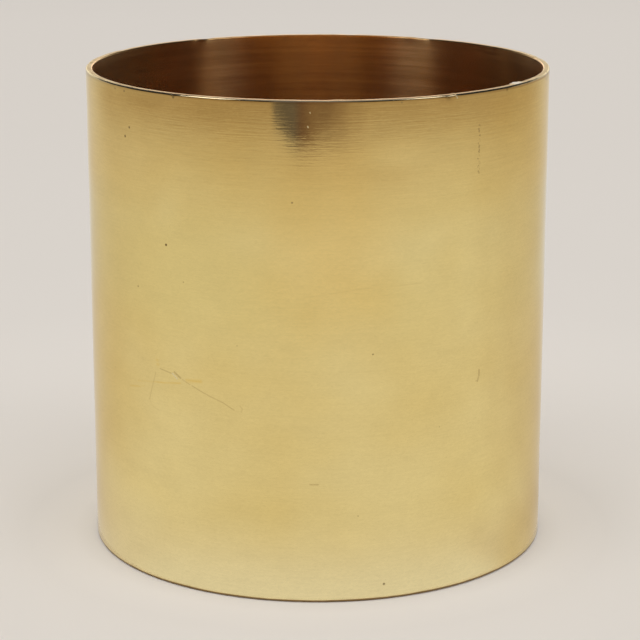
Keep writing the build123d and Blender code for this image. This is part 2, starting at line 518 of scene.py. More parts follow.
def rim_brass():
    """The cut edge: bare metal, handled bright, with the saw's and file's marks along it."""
    n = Net("brass_rim")
    some = n.noise(n.stretch(0.16, 0.16, 0.16, shift=(1, 2, 3)), 1.0, 2.5, 0.6)
    fine = n.noise(n.stretch(1.5, 1.5, 1.5), 1.0, 3.0, 0.65)
    r = n.math("SQRT", n.add(n.mul(n.x, n.x), n.mul(n.y, n.y)))
    rings = n.noise(n.combine(n.mul(r, 9.0), n.mul(n.x, 0.03), n.mul(n.y, 0.03)), 1.0, 2.0, 0.5)
    colour = n.mix(n.step(some, 0.35, 0.68), (0.93, 0.75, 0.47), (0.85, 0.64, 0.36))
    tone = n.total(1.0, n.mul(n.sub(fine, 0.5), 0.22), n.mul(n.sub(rings, 0.5), 0.2))
    colour = n.mix(1.0, colour, n.grey(tone), "MULTIPLY")
    knock_glint = raised(n)
    # the burr painted whitish: a painted highlight
    colour = n.mix(n.mul(knock_glint, 0.8), colour, (0.95, 0.90, 0.82))
    rough = n.total(0.30, n.mul(n.sub(fine, 0.5), 0.18), n.mul(n.sub(some, 0.5), 0.12), n.mul(knock_glint, 0.2))
    height = n.total(n.mul(rings, 0.9), n.mul(fine, 0.8))
    n.metal(colour, rough, n.bump(height, 1.2e-5), metallic=n.madd(knock_glint, -0.85, 1.0))
    return n.mat


def foot_brass():
    """The foot ring and the rebate under it, dulled and scuffed by tables."""
    n = Net("brass_foot")
    some = n.noise(n.stretch(0.2, 0.2, 0.2, shift=(6, 1, 3)), 1.0, 3.0, 0.6)
    fine = n.noise(n.stretch(2.2, 2.2, 2.2), 1.0, 3.0, 0.65)
    colour = n.mix(n.step(some, 0.35, 0.65), (0.50, 0.335, 0.14), (0.30, 0.18, 0.07))
    flat = n.step(n.z, 0.12, 0.02)
    colour = n.mix(n.mul(flat, n.step(fine, 0.35, 0.6, 0.35, 0.9)), colour, (0.74, 0.58, 0.30))
    rough = n.total(0.42, n.mul(n.sub(fine, 0.5), 0.25), n.mul(flat, -0.06))
    n.metal(colour, rough, n.bump(n.add(fine, some), 1.4e-5))
    return n.mat


def floor_brass(under):
    """The disc: lathe-faced, so fine rings about the centre; stained above, heat-coloured near the solder below."""
    n = Net("brass_disc_under" if under else "brass_disc_top")
    r = n.math("SQRT", n.add(n.mul(n.x, n.x), n.mul(n.y, n.y)))
    lots = n.noise(n.stretch(0.03, 0.03, 0.03, shift=(2, 9, 4)), 1.0, 3.0, 0.55, 0.6)
    some = n.noise(n.stretch(0.13, 0.13, 0.13, shift=(1, 1, 6)), 1.0, 3.5, 0.6, 0.6)
    fine = n.noise(n.stretch(0.9, 0.9, 0.9, shift=(3, 1, 6)), 1.0, 3.0, 0.6)
    wob = n.madd(some, 0.10, r)
    rings = n.noise(n.combine(n.mul(wob, 2.6), n.mul(n.x, 0.012), n.mul(n.y, 0.012)), 1.0, 3.0, 0.65)
    if under:
        colour = n.mix(n.step(lots, 0.32, 0.68), (0.70, 0.52, 0.26), (0.54, 0.36, 0.15))
        heat = n.step(n.add(r, n.mul(n.sub(some, 0.5), 9.0)), R_DISC - 13.0, R_DISC - 3.0)
        colour = n.mix(n.mul(heat, 0.75), colour, (0.235, 0.125, 0.062))
        flux = n.mul(n.step(n.add(r, n.mul(n.sub(some, 0.5), 4.5)), R_DISC - 3.4, R_DISC - 2.2), n.step(fine, 0.35, 0.55))
        colour = n.mix(n.mul(flux, 0.55), colour, (0.34, 0.30, 0.20))
        rough = n.total(0.36, n.mul(n.sub(some, 0.5), 0.16), n.mul(heat, 0.12), n.mul(flux, 0.15))
    else:
        colour = n.mix(n.step(lots, 0.30, 0.70), (0.66, 0.47, 0.235), (0.52, 0.345, 0.155))
        # darker towards the wall round the edge of the floor
        edge = n.step(n.add(r, n.mul(n.sub(some, 0.5), 7.0)), R_IN - 8.0, R_IN - 0.5)
        colour = n.mix(n.mul(edge, 0.6), colour, (0.17, 0.10, 0.045))
        # the ring a nursery pot leaves when it stands there for years, a little off centre
        rr = n.vec("LENGTH", n.combine(n.sub(n.x, 2.4), n.add(n.y, 1.7), 0.0))
        rr = n.add(rr, n.mul(n.sub(some, 0.5), 2.2))
        ring = n.mul(n.step(rr, 31.2, 32.4), n.step(rr, 35.0, 33.2))
        colour = n.mix(n.mul(ring, n.step(fine, 0.30, 0.62, 0.15, 0.55)), colour, (0.60, 0.54, 0.40))
        rough = n.total(0.38, n.mul(n.sub(some, 0.5), 0.18), n.mul(edge, 0.14), n.mul(ring, 0.18))
    tone = n.total(1.0, n.mul(n.sub(rings, 0.5), 0.34), n.mul(n.sub(fine, 0.5), 0.16), n.mul(n.sub(some, 0.5), 0.16))
    colour = n.mix(1.0, colour, n.grey(tone), "MULTIPLY")
    n.metal(colour, rough, n.bump(n.total(n.mul(rings, 1.2), n.mul(fine, 0.7)), 1.2e-5), anisotropic=0.3, tangent=n.round_tangent())
    return n.mat


def solder():
    """Tin solder as it froze: grey, lumpy, brown with flux where it meets the brass."""
    n = Net("tin_solder")
    r = n.math("SQRT", n.add(n.mul(n.x, n.x), n.mul(n.y, n.y)))
    some = n.noise(n.stretch(0.35, 0.35, 0.35, shift=(1, 3, 2)), 1.0, 3.0, 0.6, 0.5)
    fine = n.noise(n.stretch(2.4, 2.4, 2.4), 1.0, 3.0, 0.6)
    colour = n.mix(n.step(some, 0.30, 0.70), (0.64, 0.63, 0.60), (0.44, 0.43, 0.40))
    skirt = n.step(n.add(r, n.mul(n.sub(some, 0.5), 0.9)), R_DISC - 0.45, R_DISC - 0.95)
    colour = n.mix(n.mul(skirt, 0.7), colour, (0.26, 0.17, 0.09))
    rough = n.total(0.36, n.mul(n.sub(fine, 0.5), 0.25), n.mul(n.sub(some, 0.5), 0.2))
    n.metal(colour, rough, n.bump(n.add(n.mul(fine, 0.6), n.mul(some, 1.6)), 3.0e-5))
    return n.mat


# ------------------------------------------------------------------ body tube
NSEG = 480
theta = np.linspace(-PI, PI, NSEG, endpoint=False)         # 0 is the front, -Y
az = np.degrees(theta)

RIM_O, RIM_I, FOOT_O = 0.35, 0.30, 0.40
LIFT = 0.13                                                # the plain rim sits this far below the highest burr
top_z = H - LIFT

profile, zone = [], []


def run(points, z):
    profile.extend(points)
    zone.extend([z] * len(points))


FOOT, OUTER, RIM, INNER = 0, 1, 2, 3
run(span((R_SEAT + 0.10, 0.0), (R_OUT - FOOT_O, 0.0), 3), FOOT)
run(arc(R_OUT - FOOT_O, FOOT_O, FOOT_O, -90, 0, 7), OUTER)
run([(R_OUT, 0.6), (R_OUT, 1.0)], OUTER)
run(span((R_OUT, 2.0), (R_OUT, H - 4.0), 104), OUTER)
run(span((R_OUT, H - 4.0), (R_OUT, top_z - RIM_O - 0.15), 6), OUTER)
run([(R_OUT, top_z - RIM_O - 0.15)], OUTER)
run(arc(R_OUT - RIM_O, top_z - RIM_O, RIM_O, 0, 90, 7), OUTER)
run([(R_OUT - RIM_O - 0.12, top_z), ((R_OUT + R_IN) / 2, top_z), (R_IN + RIM_I + 0.12, top_z)], RIM)
run(arc(R_IN + RIM_I, top_z - RIM_I, RIM_I, 90, 180, 6), INNER)
run([(R_IN, top_z - RIM_I - 0.2)], INNER)
run(span((R_IN, H - 1.2), (R_IN, H - 6.0), 5), INNER)
run(span((R_IN, H - 6.0), (R_IN, Z_FLOOR + 1.0), 46), INNER)
run([(R_IN, Z_FLOOR + 1.0), (R_IN, Z_FLOOR + 0.12), (R_IN, Z_FLOOR)], INNER)
run([(R_IN + 0.08, Z_FLOOR), (R_SEAT - 0.08, Z_FLOOR), (R_SEAT, Z_FLOOR)], FOOT)
run([(R_SEAT, Z_FLOOR - 0.1), (R_SEAT, 1.2), (R_SEAT, 0.2), (R_SEAT, 0.10)], FOOT)
profile = np.array(profile)
zone = np.array(zone)
rows = len(profile)

r0 = np.repeat(profile[:, :1], NSEG, axis=1)
z0 = np.repeat(profile[:, 1:], NSEG, axis=1)
th = np.repeat(theta[None, :], rows, axis=0)
azg = np.degrees(th)

# weights: the outer wall, the inner wall, and how much a row belongs to the lip
is_out = (r0 > (R_OUT + R_IN) / 2) & (z0 > 0.02)
w_out = np.where(is_out, smooth(0.3, 4.0, z0), 0.0)
w_in = np.where(~is_out & (z0 > Z_FLOOR), smooth(Z_FLOOR, Z_FLOOR + 4.0, z0), 0.0)
w_lip = smooth(H - 5.0, H - 0.2, z0)

dr = np.zeros_like(r0)
dz = np.zeros_like(r0)
# The wall is never quite true: it wanders a few hundredths inside its nominal size, the same inside and out.
wander = -0.035 + ripple(11, th, z0, 10, 0.012, (2, 5), (0.0, 0.010)) + ripple(12, th, z0, 26, 0.0045, (4, 22), (0.01, 0.05))
dr += np.minimum(wander, 0.0) * np.maximum(w_out, w_in)
# Small knocks in the outer wall: azimuth, height, radius across and up, depth.
knocks = [(-64, 92, 5, 4, .03), (-22, 33, 6, 5, .025), (52, 74, 5, 7, .03), (18, 104, 7, 3, .02), (84, 22, 5, 5, .04),
          (118, 88, 4, 6, .05), (150, 41, 6, 5, .05), (-104, 57, 5, 4, .05), (-139, 19, 4, 4, .06), (-160, 98, 6, 4, .05),
          (171, 70, 3, 3, .05), (-84, 110, 3, 3, .05), (98, 108, 3, 4, .04), (34, 8, 6, 3, .02)]
for a, h, wr, wh, depth in knocks:
    da = np.radians(turn(azg - a)) * R_OUT
    g = np.exp(-((da / wr) ** 2 + ((z0 - h) / wh) ** 2))
    dr -= depth * g * w_out

# The rim was sawn and filed by hand: it rises and falls a few hundredths, with nicks and small burrs.
lip = ripple(21, theta, 0.0, 8, 0.016, (1, 6), (0, 0)) + ripple(22, theta, 0.0, 24, 0.009, (18, 90), (0, 0))
lip = np.minimum(lip, 0.054)
nicks = [  # azimuth, half width in mm, height up, outer edge in, inner edge in
    (56.5, 0.95, 0.120, 0.0, -0.90), (54.9, 0.35, 0.100, 0.0, -0.75), (58.4, 0.35, 0.090, 0.0, -0.60), (50.2, 1.6, -0.03, -0.04, 0.0),
    (31.3, 1.3, -0.06, -0.05, 0.0), (33.4, 0.45, 0.085, 0.03, -0.12), (4.9, 1.3, 0.075, 0.0, -0.10), (2.2, 0.8, -0.05, -0.04, 0.0),
    (-148.0, 1.6, -0.17, -0.05, 0.1), (-145.0, 1.0, 0.05, 0.0, -0.1), (154.0, 1.3, 0.07, 0.0, -0.1), (148.0, 2.0, -0.14, -0.1, 0.1),
    (151.0, 0.8, -0.08, -0.1, 0.0), (-56.2, 0.6, -0.03, -0.04, 0.0), (-35.0, 0.7, -0.04, -0.05, 0.0),
    (76.0, 1.1, -0.08, -0.08, 0.05), (101.0, 1.4, -0.10, -0.12, 0.0),
    (124.0, 0.7, 0.06, 0.0, -0.15), (-92.0, 0.9, -0.10, -0.10, 0.0), (-118.0, 1.8, -0.08, -0.08, 0.0), (-171.0, 0.8, 0.05, 0.0, -0.1),
    (171.0, 1.2, -0.10, -0.08, 0.0),
]
near_lip = smooth(H - 1.6, H - 0.25, z0)
mid_r = (R_OUT + R_IN) / 2
side_out = smooth(mid_r - 0.5, R_OUT - 0.2, r0)
side_in = 1 - smooth(R_IN + 0.2, mid_r + 0.5, r0)
dz += np.repeat(lip[None, :], rows, axis=0) * near_lip
for a, w, up, out, inn in nicks:
    da = np.radians(turn(azg - a)) * R_OUT
    g = np.exp(-(da / w) ** 2)
    lift = np.where(np.asarray(up) > 0, 0.35 + 0.65 * side_in, 0.45 + 0.55 * side_out)
    dz += up * g * near_lip * lift
    dr += out * g * near_lip * side_out
    dr += inn * g * near_lip * side_in
# The foot is scuffed, never below the table.
scuff = np.abs(ripple(31, theta, 0.0, 20, 0.02, (5, 60), (0, 0)))
dz += np.repeat(scuff[None, :], rows, axis=0) * (1 - smooth(0.0, 0.5, z0)) * is_out
# Boring marks inside: shallow rings a few millimetres apart.
g = np.random.default_rng(5)
bore = sum(g.normal() * np.cos(2 * PI * z0 / p + g.uniform(0, 2 * PI)) for p in (3.1, 4.7, 7.9, 12.5)) * 0.004
dr += bore * w_in * (1 - w_lip)

rr = r0 + dr
zz = z0 + dz
rr = np.where(is_out, np.minimum(rr, R_OUT - 0.022), rr)
zz = np.clip(zz, 0.0, H - 0.004)
V = np.stack([rr * np.sin(th), -rr * np.cos(th), zz], axis=-1).reshape(-1, 3) / 1000.0

# Map: the outer and inner walls unrolled as front and back halves, the narrow faces as thin strips.
along = np.concatenate([[0], np.cumsum(np.hypot(*np.diff(np.vstack([profile, profile[:1]]), axis=0).T))])
j = np.arange(NSEG)
jn = (j + 1) % NSEG
faces, zones, uvs = [], [], []
front = (np.abs(az + 180.0 / NSEG) < 90.0)                 # by the middle of each segment
face_zone = []
for i in range(rows):
    k = (i + 1) % rows
    a, b = zone[i], zone[k]
    face_zone.append(a if a == b else (RIM if RIM in (a, b) else OUTER if OUTER in (a, b) and FOOT not in (a, b) else FOOT if FOOT in (a, b) else INNER))
face_zone = np.array(face_zone)


def strip_range(z):
    idx = np.nonzero(face_zone == z)[0]
    # rows of one zone can wrap past the end of the list
    lo = min(along[i] for i in idx)
    hi = max(along[i + 1] for i in idx)
    return lo, hi


BIG_H, GAP = 0.462, 0.004
layout = {OUTER: 0.002, INNER: 0.002 + BIG_H + GAP}
ranges = {z: strip_range(z) for z in (OUTER, INNER, RIM)}
foot_rows = np.nonzero(face_zone == FOOT)[0]
for i in range(rows):
    k = (i + 1) % rows
    z = face_zone[i]
    a0, a1 = along[i], along[i + 1]
    quad = np.stack([i * NSEG + j, i * NSEG + jn, k * NSEG + jn, k * NSEG + j], axis=-1)
    faces.append(quad)
    zones.append(np.full(NSEG, z))
    if z in (OUTER, INNER):
        lo, hi = ranges[z]
        v0 = layout[z] + BIG_H * (a0 - lo) / (hi - lo)
        v1 = layout[z] + BIG_H * (a1 - lo) / (hi - lo)
        t0 = np.where(front, az + 90, (az + 360.0) % 360.0 - 90.0) / 180.0
        t1 = t0 + (360.0 / NSEG) / 180.0
        base_u = np.where(front, 0.002, 0.502)
        u0, u1 = base_u + 0.496 * t0, base_u + 0.496 * t1
    else:
        u0, u1 = 0.002 + 0.996 * (az + 180) / 360.0, 0.002 + 0.996 * (az + 180 + 360.0 / NSEG) / 360.0
        if z == RIM:
            lo, hi = ranges[RIM]
            base_v, high = 0.940, 0.028
            v0 = base_v + high * (a0 - lo) / (hi - lo)
            v1 = base_v + high * (a1 - lo) / (hi - lo)
        else:
            order = list(foot_rows).index(i)
            cell = 0.028 / len(foot_rows)
            v0, v1 = 0.971 + order * cell, 0.971 + (order + 1) * cell
    c = np.empty((NSEG, 4, 2))
    c[:, 0, 0], c[:, 1, 0], c[:, 2, 0], c[:, 3, 0] = u0, u1, u1, u0
    c[:, 0, 1] = c[:, 1, 1] = v0
    c[:, 2, 1] = c[:, 3, 1] = v1
    uvs.append(c.reshape(-1, 2))

tube = new_mesh("tube_wall", V, np.concatenate(faces), np.concatenate(zones), np.concatenate(uvs),
                [foot_brass(), brushed_brass(), rim_brass(), inner_brass()])


def sharpen(ob, angle):
    """Marks creases, so that smooth shading doesn't round the corners that have no edge break."""
    bm = bmesh.new()
    bm.from_mesh(ob.data)
    for e in bm.edges:
        if len(e.link_faces) == 2 and e.calc_face_angle(0.0) > angle:
            e.smooth = False
    bm.to_mesh(ob.data)
    bm.free()


sharpen(tube, math.radians(38))
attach(tube, "root")
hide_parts("body_tube")


# ------------------------------------------------------------------ base disc
def lathe_solid(name, prof, nseg, shape, mats, pick, uv_of):
    """A turned solid whose profile starts and ends on the axis. shape(r, z, theta) returns the moved r and z."""
    t = np.linspace(-PI, PI, nseg, endpoint=False)
    mid = prof[1:-1]
    r = np.repeat(np.array([p[0] for p in mid])[:, None], nseg, axis=1)
    z = np.repeat(np.array([p[1] for p in mid])[:, None], nseg, axis=1)
    tt = np.repeat(t[None, :], len(mid), axis=0)
    r2, z2 = shape(r, z, tt)
    grid = np.stack([r2 * np.sin(tt), -r2 * np.cos(tt), z2], axis=-1).reshape(-1, 3)
    ends = []
    for p in (prof[0], prof[-1]):
        _, ze = shape(np.array([[0.0]]), np.array([[p[1]]]), np.array([[0.0]]))
        ends.append((0.0, 0.0, float(ze[0, 0])))
    verts = np.concatenate([grid, np.array(ends)]) / 1000.0
    first, last = len(grid), len(grid) + 1
    fs, zs, us = [], [], []
    jj = np.arange(nseg)
    jp = (jj + 1) % nseg
    t1 = t + 2 * PI / nseg
    for a, b in zip(jj, jp):
        fs.append((first, b, a))
        zs.append(pick(0))
        us += [uv_of(0, 0.0, t[a]), uv_of(0, mid[0][0], t1[a]), uv_of(0, mid[0][0], t[a])]
    for i in range(len(mid) - 1):
        for a, b in zip(jj, jp):
            fs.append((i * nseg + a, i * nseg + b, (i + 1) * nseg + b, (i + 1) * nseg + a))
            zs.append(pick(i + 1))
            us += [uv_of(i + 1, mid[i][0], t[a]), uv_of(i + 1, mid[i][0], t1[a]),
                   uv_of(i + 1, mid[i + 1][0], t1[a], True), uv_of(i + 1, mid[i + 1][0], t[a], True)]
    i = len(mid) - 1
    for a, b in zip(jj, jp):
        fs.append((i * nseg + a, i * nseg + b, last))
        zs.append(pick(len(mid)))
        us += [uv_of(len(mid), mid[i][0], t[a]), uv_of(len(mid), mid[i][0], t1[a]), uv_of(len(mid), 0.0, t[a])]
    return new_mesh(name, verts, fs, zs, us, mats)


CH = 0.10
dp = [(0.0, Z_UNDER)]
dp += [(r, Z_UNDER) for r in (0.6, 1.4)] + [(float(r), Z_UNDER) for r in np.linspace(2.5, R_DISC - 1.0, 34)]
dp += [(R_DISC - CH - 0.1, Z_UNDER), (R_DISC - CH, Z_UNDER)]
n_under = len(dp)
dp += [(R_DISC, Z_UNDER + CH), (R_DISC, (Z_UNDER + Z_FLOOR) / 2), (R_DISC, Z_FLOOR - CH)]
n_edge = len(dp)
dp += [(R_DISC - CH, Z_FLOOR), (R_DISC - CH - 0.1, Z_FLOOR), (R_IN - 0.02, Z_FLOOR), (R_IN - 0.4, Z_FLOOR)]
dp += [(float(r), Z_FLOOR) for r in np.linspace(R_IN - 1.2, 3.0, 44)]
dp += [(2.0, Z_FLOOR), (1.0, Z_FLOOR), (0.45, Z_FLOOR), (0.0, Z_FLOOR)]


def disc_shape(r, z, t):
    above = z > (Z_UNDER + Z_FLOOR) / 2
    inner = 1 - smooth(R_IN - 3.0, R_IN - 0.3, r)
    # pulled a little hollow by the heat of soldering, with shallow facing rings and a centre mark
    dish = 0.16 * (1 - (r / R_DISC) ** 2)
    rings = 0.006 * np.cos(2 * PI * r / 2.4) + 0.005 * np.cos(2 * PI * r / 3.7 + 1.0)
    warp = 0.02 * np.cos(2 * t + 0.6) * (r / R_DISC) ** 2 + 0.012 * np.cos(3 * t - 1.1) * (r / R_DISC)
    pip = 0.10 * np.exp(-(r / 0.7) ** 2)
    top = z - (dish + 0.03 + rings + warp + pip) * inner
    low = z + (0.05 + rings + warp - pip * 0.5 + 0.02) * (1 - smooth(R_DISC - 4.0, R_DISC - 1.2, r))
    return r, np.where(above, top, low)


def disc_pick(i):
    return 0 if i < n_under else 1


def disc_uv(i, r, t, far=False):
    s = 0.289 / R_DISC
    if i < n_under - 1:
        return (0.293 + r * s * math.sin(t), 0.293 - r * s * math.cos(t))
    if i >= n_edge:
        return (0.707 + r * s * math.sin(t), 0.707 + r * s * math.cos(t))
    k = i - (n_under - 1) + (1 if far else 0)
    return (0.62 + 0.37 * (t + PI) / (2 * PI), 0.02 + 0.02 * k)


disc = lathe_solid("floor_disc", dp, 240, disc_shape, [floor_brass(True), floor_brass(False)], disc_pick, disc_uv)
sharpen(disc, math.radians(30))
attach(disc, "root")
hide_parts("base_disc")


# --------------------------------------------------------------- solder seam
def solder_ring():
    """A bead that was run round with an iron: it swells and thins, and has a blob where it was started and ended."""
    nseg = 480
    t = np.linspace(-PI, PI, nseg, endpoint=False)
    a = np.degrees(t)
    size = 0.80 + ripple(41, t, 0.0, 10, 0.10, (2, 16), (0, 0)) + ripple(42, t, 0.0, 16, 0.05, (30, 110), (0, 0))
    size = np.clip(size, 0.5, 0.97)
    size = np.maximum(size, 1.0 * np.exp(-((turn(a - 63.0)) / 3.0) ** 2))
    size = np.minimum(size, 1.0)
    fill = 0.5 + 0.5 * np.clip(ripple(43, t, 0.0, 12, 0.6, (3, 30), (0, 0)), -1, 1)
    nb = 7
    ring_r, ring_z = [], []
    # the film in the gap, then the face of the bead from the disc to the wall
    g = 0.012
    for r, z in ((R_SEAT - g, Z_UNDER), (R_SEAT - g, Z_FLOOR - 0.12), (R_DISC + g, Z_FLOOR - 0.12), (R_DISC + g, Z_UNDER - 0.004)):
        ring_r.append(np.full(nseg, r))
        ring_z.append(np.full(nseg, z))
    r_a, z_a = R_DISC - 0.95 * size, np.full(nseg, Z_UNDER - 0.004)
    r_b, z_b = np.full(nseg, R_SEAT - g), Z_UNDER - 0.85 * size
    for k in range(nb):
        u = k / (nb - 1)
        dip = (0.17 - 0.30 * fill) * size * math.sin(PI * u)
        ring_r.append(r_a + (r_b - r_a) * u + dip * 0.66)
        ring_z.append(z_a + (z_b - z_a) * u + dip * 0.75)
    rr = np.minimum(np.array(ring_r), R_SEAT - g)
    zz = np.maximum(np.array(ring_z), 0.36)
    tt = np.repeat(t[None, :], len(rr), axis=0)
    verts = np.stack([rr * np.sin(tt), -rr * np.cos(tt), zz], axis=-1).reshape(-1, 3) / 1000.0
    fs, us = [], []
    n = len(rr)
    cum = np.concatenate([[0], np.cumsum([2.0, 0.15, 2.0, 0.9] + [0.25] * (nb - 1) + [0.9])])
    cum = cum / cum[-1]
    for i in range(n):
        k = (i + 1) % n
        for s in range(nseg):
            s2 = (s + 1) % nseg
            fs.append((i * nseg + s, i * nseg + s2, k * nseg + s2, k * nseg + s))
            block, at = divmod(s, 60)
            u0, u1 = 0.01 + 0.98 * at / 60, 0.01 + 0.98 * (at + 1) / 60
            v0 = 0.005 + block * 0.124 + 0.118 * cum[i]
            v1 = 0.005 + block * 0.124 + 0.118 * cum[i + 1]
            us += [(u0, v0), (u1, v0), (u1, v1), (u0, v1)]
    return new_mesh("solder_bead", verts, fs, [0] * len(fs), us, [solder()])


bead = solder_ring()
sharpen(bead, math.radians(50))
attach(bead, "root")
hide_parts("solder_seam")

for ob in (tube, disc, bead):                              # normals outwards on every piece
    bm = bmesh.new()
    bm.from_mesh(ob.data)
    bmesh.ops.recalc_face_normals(bm, faces=bm.faces)
    bm.to_mesh(ob.data)
    bm.free()

# --------------------------------------------------------------------- stage
scene.view_settings.view_transform = "Standard"
scene.view_settings.look = "None"
scene.view_settings.exposure = 0.0
scene.view_settings.gamma = 1.0
scene.cycles.max_bounces = 20                              # light finds its way out of a deep bright pot slowly
scene.cycles.glossy_bounces = 14


def stage_plane(name, size, z, mat):
    me = bpy.data.meshes.new(name)
    s = size / 2
    me.from_pydata([(-s, -s, z), (s, -s, z), (s, s, z), (-s, s, z)], [], [(0, 1, 2, 3)])
    me.materials.append(mat)
    ob = bpy.data.objects.new(name, me)
    scene.collection.objects.link(ob)
    ob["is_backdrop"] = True
    return ob


fl = Net("stage_floor")
p = fl.node("ShaderNodeBsdfPrincipled")
fl_r = fl.vec("LENGTH", fl.vec("SUBTRACT", fl.coord, (0.0, -0.05, 0.0)))
_, fl_y, _ = fl.node("ShaderNodeSeparateXYZ", fl.coord).outputs
# the table is painted brighter round the pot and just in front of it, dimmer further off: a painted pool of light
fl_light_pool = fl.ramp(fl.mul(fl_r, 0.8), [(0.048, 1.0), (0.096, 0.985), (0.116, 0.962), (0.16, 0.93), (0.224, 0.88), (0.28, 0.872),
                                     (0.36, 0.878), (0.52, 0.889), (0.88, 0.933)])
# painted light lifts the contact shadow near the pot, and painted shade dims the table a little further off on the
# viewer's side
fl_out = fl.madd(fl.vec("LENGTH", fl.coord), 10.0, -0.57)
fl_lit = fl.ramp(fl_out, [(0.0, 1.10), (0.06, 1.10), (0.11, 1.055), (0.18, 1.0)])
fl_dim = fl.mul(fl.ramp(fl_out, [(0.18, 0.0), (0.30, 0.035), (0.46, 0.075)]), fl.step(fl_y, 0.02, -0.05))
fl_f = fl.mul(fl.mul(fl_light_pool, fl_lit), fl.sub(1.0, fl_dim))
fl.put(p.inputs["Base Color"], fl.mix(1.0, (0.90, 0.865, 0.83), fl.grey(fl_f), "MULTIPLY"))
p.inputs["Roughness"].default_value = 0.9
p.inputs["Specular IOR Level"].default_value = 0.0
fl.nt.links.new(p.outputs[0], fl.out.inputs["Surface"])
floor = stage_plane("stage_floor", 14.0, -0.0001, fl.mat)

# What the brass mirrors. The wall is close to a mirror and only looks down at the table, so a ring-shaped card lies
# just over the table and stands in for it: white near the pot, dimmer and warmer further off on the viewer's side,
# a little darker at the sides. Only reflections see it.
rm = Net("stage_table_card")
cx, cy, _ = rm.node("ShaderNodeSeparateXYZ", rm.coord).outputs
azr = rm.mul(rm.math("ARCTAN2", cx, rm.mul(cy, -1.0)), 180.0 / PI)               # degrees, 0 in front
rad = rm.math("SQRT", rm.add(rm.mul(cx, cx), rm.mul(cy, cy)))
az01 = rm.madd(azr, 1.0 / 360.0, 0.5)


def at(deg):
    return (deg + 180.0) / 360.0


far = rm.ramp(rm.madd(rad, 1.0 / 0.8, 0.0), [(0.50, 1.0), (0.66, 0.94), (0.73, 0.87), (0.81, 0.80), (0.875, 0.69), (0.95, 0.57)])
reach = rm.ramp(az01, [(at(-175), 0.0), (at(-145), 0.15), (at(-116), 0.74), (at(-88), 0.98), (at(-58), 1.08), (at(0), 1.15), (at(58), 0.98),
                       (at(88), 0.86), (at(116), 0.55), (at(145), 0.08), (at(175), 0.0)], "EASE")
fall = rm.madd(rm.sub(far, 1.0), reach, 1.0)
side = rm.ramp(az01, [(at(-165), 1.0), (at(-140), 0.93), (at(-112), 0.93), (at(-92), 0.965), (at(-70), 1.0), (at(70), 1.0),
                      (at(88), 0.945), (at(104), 0.90), (at(130), 0.89), (at(150), 0.95), (at(170), 1.0)], "EASE")
# darker close beside the foot, most on the right: the pot's painted shadow on the table
foot_shadow = rm.mul(rm.ramp(az01, [(at(-150), 0.5), (at(-100), 0.6), (at(-62), 0.5), (at(-42), 0.0), (at(44), 0.0), (at(60), 1.0),
                                  (at(100), 1.0), (at(125), 0.5), (at(150), 0.3)], "EASE"), rm.step(rad, 0.100, 0.064))
f = rm.mul(rm.mul(fall, side), rm.madd(foot_shadow, -0.12, 1.0))
amber = rm.mul(rm.mul(rm.step(rad, 0.26, 0.40), rm.step(rad, 0.72, 0.60)), rm.ramp(az01, [(at(-60), 0.0), (at(-30), 0.25), (at(-8), 0.9), (at(12), 1.1), (at(30), 0.5), (at(60), 0.0)], "EASE"))
cool = rm.mul(rm.mul(rm.step(rad, 0.24, 0.33), rm.step(rad, 0.54, 0.44)), rm.ramp(az01, [(at(-150), 1.0), (at(-40), 1.0), (at(-14), 0.3), (at(0), 0.0), (at(26), 0.0), (at(42), 0.7), (at(62), 0.3), (at(110), 0.6), (at(150), 1.0)], "EASE"))
amber = rm.sub(amber, cool)
lit = rm.node("ShaderNodeCombineColor", rm.mul(f, 0.745), rm.mul(rm.mul(rm.math("POWER", f, 1.42), 0.705), rm.madd(amber, -0.05, 1.0)),
              rm.mul(rm.mul(rm.math("POWER", f, 2.0), 0.640), rm.madd(amber, -0.13, 1.0))).outputs[0]
em = rm.node("ShaderNodeEmission", lit)
rm.nt.links.new(em.outputs[0], rm.out.inputs["Surface"])


def card(name, verts, faces, mat):
    me = bpy.data.meshes.new(name)
    me.from_pydata(verts, [], faces)
    me.materials.append(mat)
    ob = bpy.data.objects.new(name, me)
    scene.collection.objects.link(ob)
    ob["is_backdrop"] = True
    ob.visible_camera = False
    ob.visible_diffuse = False
    ob.visible_shadow = False
    ob.visible_transmission = False
    ob.visible_volume_scatter = False
    return ob


def polar(r, deg, z):
    a = math.radians(deg)
    return (r * math.sin(a), -r * math.cos(a), z)


card("stage_table_card", [polar(r, 3 * k, 0.0002) for r in (0.0585, 0.80) for k in range(120)],
     [(k, (k + 1) % 120, 120 + (k + 1) % 120, 120 + k) for k in range(120)], rm.mat)

# The room past the table, dim on the viewer's side and light behind the pot.
REAR = (0.64, 0.608, 0.568)
wl = Net("stage_room_card")
wx, wy, wz = wl.node("ShaderNodeSeparateXYZ", wl.coord).outputs
waz = wl.madd(wl.math("ARCTAN2", wx, wl.mul(wy, -1.0)), 180.0 / PI / 360.0, 0.5)
tone = wl.ramp(waz, [(at(-165), REAR), (at(-140), (0.58, 0.53, 0.46)), (at(-112), (0.46, 0.37, 0.27)), (at(-60), (0.42, 0.31, 0.21)), (at(0), (0.34, 0.24, 0.14)),
                     (at(60), (0.42, 0.31, 0.21)), (at(112), (0.46, 0.37, 0.27)), (at(140), (0.58, 0.53, 0.46)), (at(165), REAR)], "EASE")
above = wl.ramp(waz, [(at(-165), REAR), (at(-135), (0.48, 0.43, 0.37)), (at(-88), (0.075, 0.053, 0.034)), (at(0), (0.065, 0.036, 0.016)), (at(88), (0.075, 0.053, 0.034)),
                      (at(135), (0.48, 0.43, 0.37)), (at(165), REAR)], "EASE")
tone = wl.mix(wl.step(wz, 0.02, 0.07), tone, above)
em = wl.node("ShaderNodeEmission", tone)
